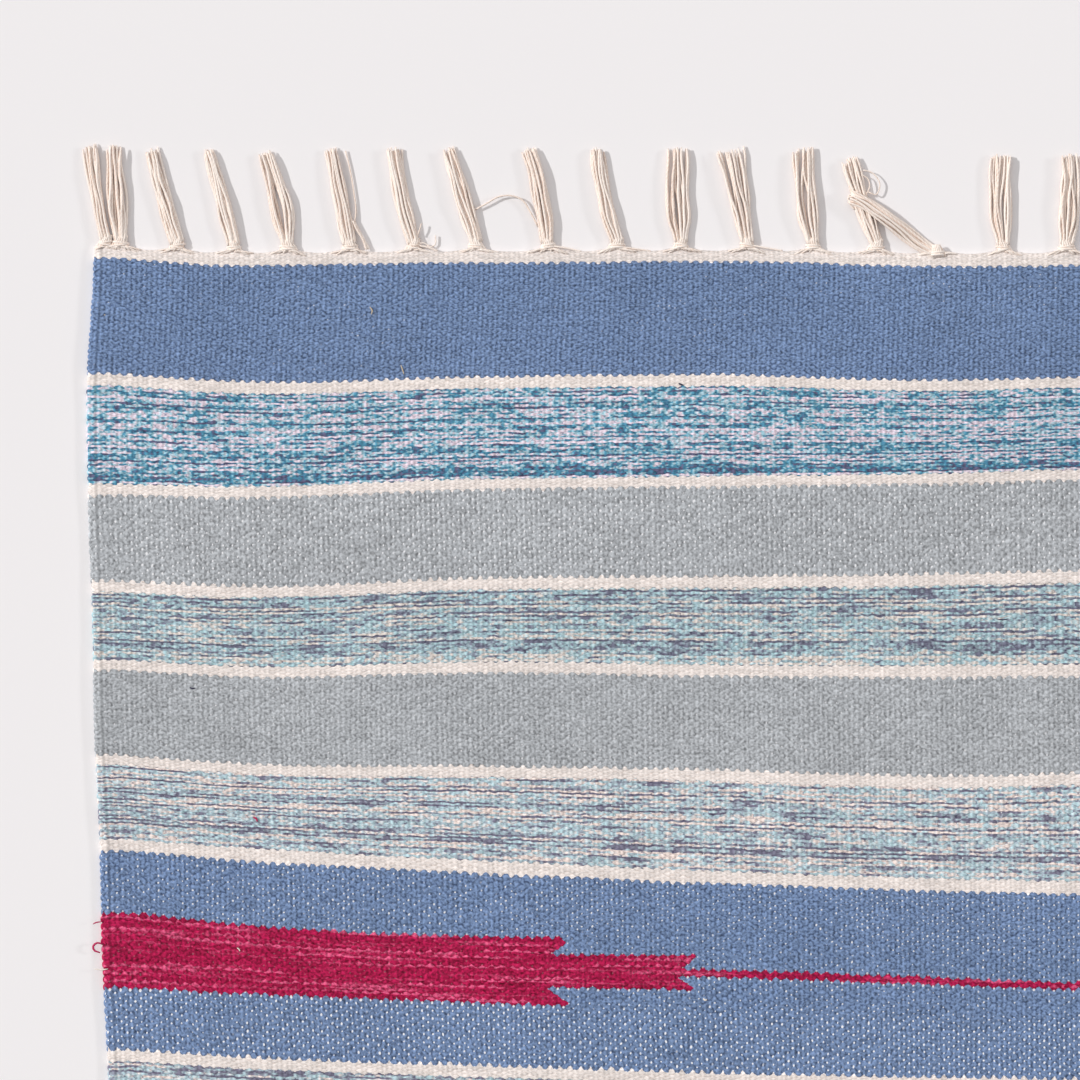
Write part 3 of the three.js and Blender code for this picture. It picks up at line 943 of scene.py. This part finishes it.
def bar_places(g, k, j):
    """How far a float is from the middle of the width, and in picks from the bar's middle line."""
    inward = abs(k * WARP_PITCH - HALF_WIDTH)
    folded = g.least(j, ALL_PICKS - 1.0 - j)
    return inward, folded + 0.5 - BAR_MIDDLE


def nearest_of_parity(g, value, odd):
    """The nearest whole number to value that is even where odd is 0, and odd where it is 1."""
    return g.math("ROUND", (value - odd) * 0.5) * 2.0 + odd


# Half the size of a float in columns and in picks, and what mixed yarn and its thin odd picks add
FLOAT_ACROSS, MIXED_ACROSS, THIN_ACROSS = 0.61, 0.25, 0.27
FLOAT_ALONG, MIXED_ALONG, THIN_ALONG = 0.78, 0.04, -0.18


def float_near(g, a, b, step, mixed):
    """The nearest float of the column before (step 0) or after (step 1) a point: its column, its
    pick, how far along the warp the point is from its middle, and the float's height there."""
    k = g.math("FLOOR", a) + float(step)
    odd = g.parity(k)
    j = nearest_of_parity(g, b, odd)
    thin = odd * mixed
    one, two, three = g.randoms(k, j, 3.0)
    grown = three * 0.24 + 0.88
    half_across = (mixed * MIXED_ACROSS + FLOAT_ACROSS + thin * THIN_ACROSS) * grown
    half_along = (mixed * MIXED_ALONG + FLOAT_ALONG + thin * THIN_ALONG) * grown
    across = a - k + (one - 0.5) * 0.14
    along = b - j + (two - 0.5) * 0.3
    far = g.math("POWER", abs(across / half_across), 2.6) + g.math("POWER", abs(along / half_along), 2.2)
    return k, j, along, 1.0 - far


def band_stops(part):
    """Stops along the picks with what part says of each band's yarn and of how much warp it shows."""
    return [(max(0.0, (s[2] - 0.2) / RAMP_PICKS), part(s[3], s[4])) for s in STARTS[:-1]]


def yarn_kind(yarn, fleck):
    """Whether a yarn is mixed, whether it is teal, and how much warp it shows."""
    return (float(yarn in MIXED_YARNS), float(yarn == "teal"), fleck, 1.0)


def seam_light(g, margin, height, under, mixed, soft):
    """How much light is painted on a place: painted shade at the seams beside and below its float and in
    the gaps, up to full light at its crown.
    """
    firm = 0.95 - mixed * 0.25 - under * (mixed * 0.3 + 0.25)
    at_seam = g.blend(soft, firm, 1.0 - under * 0.1)
    return g.ramp(margin, 0.0, 0.6, at_seam, 1.0) * g.ramp(height, -0.35, 0.5)


def mixed_strands(g, strand, slow, quick, is_teal, of_float):
    """Mixed yarn: thin strands that run along the picks, light and dark in turn."""
    row_tone, _, _ = g.randoms(strand, 2.0, 5.0)
    tone = slow * (0.54 - is_teal * 0.12) + quick * (is_teal * 0.12 + 0.4)
    tone = tone + (of_float - 0.5) * 0.12 + (row_tone - 0.5) * 0.16
    tone = tone + (g.parity(strand) * 0.07 + 0.005)
    return g.colour(is_teal, g.stops(tone, PALE_STRANDS), g.stops(tone, TEAL_STRANDS))


def crimson_yarn(g, a, j, along, slow, quick):
    """Crimson yarn, with thin pink strands along some of its picks."""
    reds = g.stops(quick * 0.6 + slow * 0.4, CRIMSON_STRANDS)
    lower = along > 0.06
    pink_row = g.noise(g.vector(a * 0.03, (j * 2.0 + lower) * 7.9, 80.0), 0.0)
    pink = g.ramp(pink_row, 0.545, 0.6, 0.0, 0.9) * g.ramp(quick, 0.3, 0.48)
    return g.colour(pink * (1.0 - lower * 0.6), reds, PINK)


def yarn_shade(g, a, j, rib_at, of_float, fibre, roughness, painted_rib_shade):
    """How light the yarn is along each pick, from float to float, and with its fibres, with painted
    light and shade across its ribs.
    """
    shade_row = g.noise(g.vector(a * 0.09, j * 4.3, 20.0), 2.0)
    shade = (shade_row - 0.5) * 0.42 + (of_float - 0.5) * 0.2
    fuzz = g.ramp(fibre, 0.34, 0.66, eased=False) - 0.5
    return shade + fuzz * roughness + g.math("COSINE", rib_at * (2 * math.pi)) * painted_rib_shade + 1.0


# Half the width of a fleck in columns, and half its height in picks
FLECK_ACROSS, FLECK_ALONG = 0.21, 0.33


def warp_flecks(g, a, b, gaping, fleck_share, crimson):
    """How much of the undyed warp shows: short upright flecks between the floats of one column, and
    rows of them along the crimson bar's edges."""
    k = g.math("ROUND", a)
    j = nearest_of_parity(g, b, 1.0 - g.parity(k))
    luck, aside, size = g.randoms(k, j, 11.0)
    inward, signed = bar_places(g, k, j)
    q = abs(signed)
    bar_edge = g.most(in_bar(g, inward, q - 1.0) - in_bar(g, inward, q), 0.0)
    bar_edge = bar_edge * g.ramp(signed, -1.0, 1.0, 0.45, 1.0)
    reach = (fleck_share * 0.3 + 0.7) * (size * 0.4 + 0.8) * (bar_edge * 0.4 + 1.0)
    lean = (b - j) * 0.08
    dx = (a - k + lean + (aside - 0.5) * 0.2) / (reach * FLECK_ACROSS)
    dy = (b - j) / (reach * FLECK_ALONG)
    luck = luck * 0.7 + gaping * 0.3
    open_gap = g.ramp(luck, 0.9 - fleck_share, 1.12 - fleck_share * 0.72) * (1.0 - crimson * 0.9)
    return g.ramp(1.0 - (dx * dx + dy * dy), 0.0, 0.6) * g.most(open_gap, bar_edge)


def weave_material():
    material = bpy.data.materials.new("weft_faced_weave")
    g = Graph(material)
    a0, b0, _ = g.uv("weave")
    patch, gaping, _ = g.uv("wear")
    shift_a, shift_b, shift_c = g.three_noises(g.vector(a0 * 0.8, b0 * 0.62, 9.0))
    a = a0 + (shift_a - 0.5) * 0.34
    b = b0 - 0.5 + (shift_b - 0.5) * 0.7
    wave = (shift_c - 0.5) * 0.6
    grounds, gaps, looks = (band_stops(lambda yarn, _, i=i: YARNS[yarn][i]) for i in range(3))
    kinds = band_stops(yarn_kind)

    # What band the point itself is in
    here = g.least(b0, float(ALL_PICKS) - b0) / RAMP_PICKS
    mixed_here, _, open_here = g.hard_parts(here, kinds)
    light_yarn, painted_rib_shade, roughness = g.hard_parts(here, looks)
    near_inward, near_signed = bar_places(g, a, b)
    streaky = g.most(mixed_here, in_bar(g, near_inward, abs(near_signed)) * 0.7)

    # The float on top at the point, and how much light is painted on it
    k0, j0, y0, h0 = float_near(g, a, b, 0, streaky)
    k1, j1, y1, h1 = float_near(g, a, b, 1, streaky)
    second = h1 > h0
    k, j, along = g.blend(second, k0, k1), g.blend(second, j0, j1), g.blend(second, y0, y1)
    height = g.most(h0, h1)
    margin = height - g.least(h0, h1)
    soft = g.most(light_yarn, open_here * 0.6)
    painted_light = seam_light(g, margin, height, g.ramp(along, -0.3, 0.4), mixed_here, soft)
    # Fibres bridge the seams here and there and lift their painted shade
    fibre = g.noise(g.vector(a0 * 1.9, b0 * 1.35, 1.0), 1.0)
    painted_light = g.most(painted_light, g.ramp(fibre, 0.46, 0.62) * (0.85 - mixed_here * 0.5))

    # What band that float belongs to, and its yarn's colour
    where = (g.least(j, ALL_PICKS - 1.0 - j) + 0.5) / RAMP_PICKS
    ground = g.stops(where, grounds, hard=True)
    gap_shade = g.stops(where, gaps, hard=True)
    mixed, is_teal, fleck_share = g.hard_parts(where, kinds)
    of_float, _, _ = g.randoms(k, j, 1.0)
    strand = g.math("FLOOR", b * STRANDS_PER_PICK + wave)
    slow = g.noise(g.vector(a * 0.12, strand * 5.37), 1.0)
    quick = g.noise(g.vector(a * 0.8, strand * 3.11, 40.0), 1.0)
    strands = g.tinted(mixed_strands(g, strand, slow, quick, is_teal, of_float), ground)
    inward, signed = bar_places(g, k, j)
    crimson = in_bar(g, inward, abs(signed))
    reds = crimson_yarn(g, a, j, along + wave, slow, quick)
    body = g.colour(crimson, g.colour(mixed, ground, strands), reds)

    # Its tone and the painted light and shade across its ribs, the painted shade in the gaps, and the
    # warp between the floats
    rib_at = a0 + (shift_a - 0.5) * 0.2
    painted_rib_shade = painted_rib_shade * (1.15 - open_here * 0.4)
    shade = yarn_shade(g, a, j, rib_at, of_float, fibre, roughness, painted_rib_shade)
    body = g.dimmed(body, shade * g.ramp(patch, 0.0, 1.0, 0.93, 1.07, eased=False))
    gap_shade = g.colour(crimson, gap_shade, CRIMSON_GAP_SHADE)
    body = g.tinted(body, g.colour(painted_light, gap_shade, (1.0, 1.0, 1.0, 1.0)))
    warp = g.dimmed(WARP_COLOUR, g.ramp(fleck_share, 0.4, 1.0, 0.82, 1.05, eased=False))
    body = g.colour(warp_flecks(g, a, b, gaping, fleck_share, crimson), body, warp)

    # The first rib at each selvedge is set off by a groove, with painted shade in it
    from_edge = g.least(a, WOVEN_WIDTH / WARP_PITCH - a)
    groove = g.ramp(abs(from_edge - GROOVE_AT), 0.05, 0.6, 1.0, 0.0)
    body = g.dimmed(body, 1.0 - groove * g.ramp(fibre, 0.3, 0.65, 0.08, 0.3))

    # Floats stand highest where the rounded pick and column are both even or both odd
    crest = g.math("COSINE", a * math.pi) * g.math("COSINE", b * math.pi)
    relief = g.ramp(crest, -0.9, 0.9) * (1.0 - light_yarn * 0.45) + fibre * 0.5 - groove * 0.4
    g.cotton(body, g.ramp(height, 0.0, 1.0, 1.0, 0.88, eased=False), relief, 0.6, 0.0005)
    return material


PLY_PITCH = 3.6


def yarn_material(name, light, dark):
    """Plied yarn: U is the yarn's number and the place around it, V the length along it."""
    material = bpy.data.materials.new(name)
    g = Graph(material)
    u, v, _ = g.uv("weave")
    around = (g.math("FRACT", u) - 0.05) / 0.9
    number = g.math("FLOOR", u)
    one, two, _ = g.randoms(number, 4.0, 0.0)
    turn = around * (2 * math.pi)
    ply = abs(g.math("SINE", turn + (v + one * 7.0) * (math.pi / PLY_PITCH)))
    spun = g.noise(g.vector(around * 6.0, v * 0.9, number * 3.7), 3.0)
    # The flanks lie in the shade of the yarns beside them
    flank = g.ramp(g.math("SINE", turn), -0.25, 0.85)
    tone = (two * 0.22 + spun * 0.5 + ply * 0.16) * (flank * 0.56 + 0.54)
    colour = g.colour(g.ramp(tone, 0.12, 0.6), dark, light)
    roughness = g.ramp(spun, 0.3, 0.7, 0.85, 1.0)
    g.cotton(colour, roughness, ply * 0.6 + spun * 0.6, 0.5, 0.0003, sheen=0.15)
    return material


def floor_material():
    material = bpy.data.materials.new("floor_pale")
    Graph(material).surface(("Base Color", "Roughness"), (linear(243, 241, 243), 0.9))
    return material


# Camera, light and floor
PHOTO_PIXEL = 0.714
PHOTO_CREASE_X = 1075
PHOTO_EDGE_Y = 263
PHOTO_MIDDLE = 540
PHOTO_SIZE = 1080
CAMERA_HEIGHT = 2.6


def add_camera():
    data = bpy.data.cameras.new("camera")
    data.sensor_width = 36
    data.lens = 36 * CAMERA_HEIGHT / (PHOTO_SIZE * PHOTO_PIXEL * MM)
    camera = bpy.data.objects.new("camera", data)
    x = (PHOTO_MIDDLE - PHOTO_CREASE_X) * PHOTO_PIXEL
    y = HALF_LENGTH - (PHOTO_MIDDLE - PHOTO_EDGE_Y) * PHOTO_PIXEL + MIDDLE_Y
    camera.location = (x * MM, y * MM, CAMERA_HEIGHT)
    bpy.context.scene.collection.objects.link(camera)
    bpy.context.scene.camera = camera


def add_sun(name, azimuth, elevation, strength, softness, colour=(1, 1, 1)):
    """A sun that shines from an azimuth, measured from +X towards +Y, at an elevation."""
    data = bpy.data.lights.new(name, "SUN")
    data.energy = strength
    data.angle = math.radians(softness)
    data.color = colour
    lamp = bpy.data.objects.new(name, data)
    lamp.rotation_euler = (math.radians(90 - elevation), 0, math.radians(azimuth + 90))
    bpy.context.scene.collection.objects.link(lamp)


def add_world(strength):
    world = bpy.data.worlds.new("studio")
    world.use_nodes = True
    background = world.node_tree.nodes["Background"]
    background.inputs["Color"].default_value = (1.0, 0.97, 0.96, 1.0)
    background.inputs["Strength"].default_value = strength
    bpy.context.scene.world = world


FLOOR_SIZE, FLOOR_GAP = 30, 0.0004


def add_floor():
    bpy.ops.mesh.primitive_plane_add(size=FLOOR_SIZE, location=(0, 0, -FLOOR_GAP))
    floor = bpy.context.object
    floor.name = "floor"
    floor.data.materials.append(floor_material())
    floor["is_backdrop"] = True


add_camera()
add_floor()
add_world(0.3)
add_sun("key_light", 163, 30, 2.5, 1.6, (1.0, 0.99, 0.97))
add_sun("soft_light", 120, 55, 0.75, 90)
add_sun("fill_light", 8, 20, 0.65, 7)
bpy.context.scene.view_settings.view_transform = "Standard"

weave = weave_material()
cotton = yarn_material("warp_cotton_yarn", linear(252, 241, 233), linear(230, 205, 188))

cloth = build_cloth()
cloth.data.materials.append(weave)
selvedges = build_selvedges()
selvedges.data.materials.append(weave)
fringes = {end: fringe(end, end == "bottom") for end in ("top", "bottom")}
SLUB_COLOURS = {
    "tan": (linear(214, 196, 166), linear(180, 160, 130)),
    "dark": (linear(62, 62, 84), linear(40, 40, 60)),
    "crimson": (linear(190, 45, 95), linear(140, 20, 60)),
    "cream": (linear(244, 236, 226), linear(220, 205, 190)),
}
slubs = []
for tone, (light, dark) in SLUB_COLOURS.items():
    piece = build_slubs(tone)
    piece.data.materials.append(yarn_material(f"weft_end_{tone}", light, dark))
    slubs.append(piece)

for piece in [cloth, selvedges, *slubs]:
    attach(piece, "root")
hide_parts("cloth")
for end, pieces in fringes.items():
    for piece in pieces:
        piece.data.materials.append(cotton)
        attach(piece, "root")
        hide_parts(f"fringe_{end}")
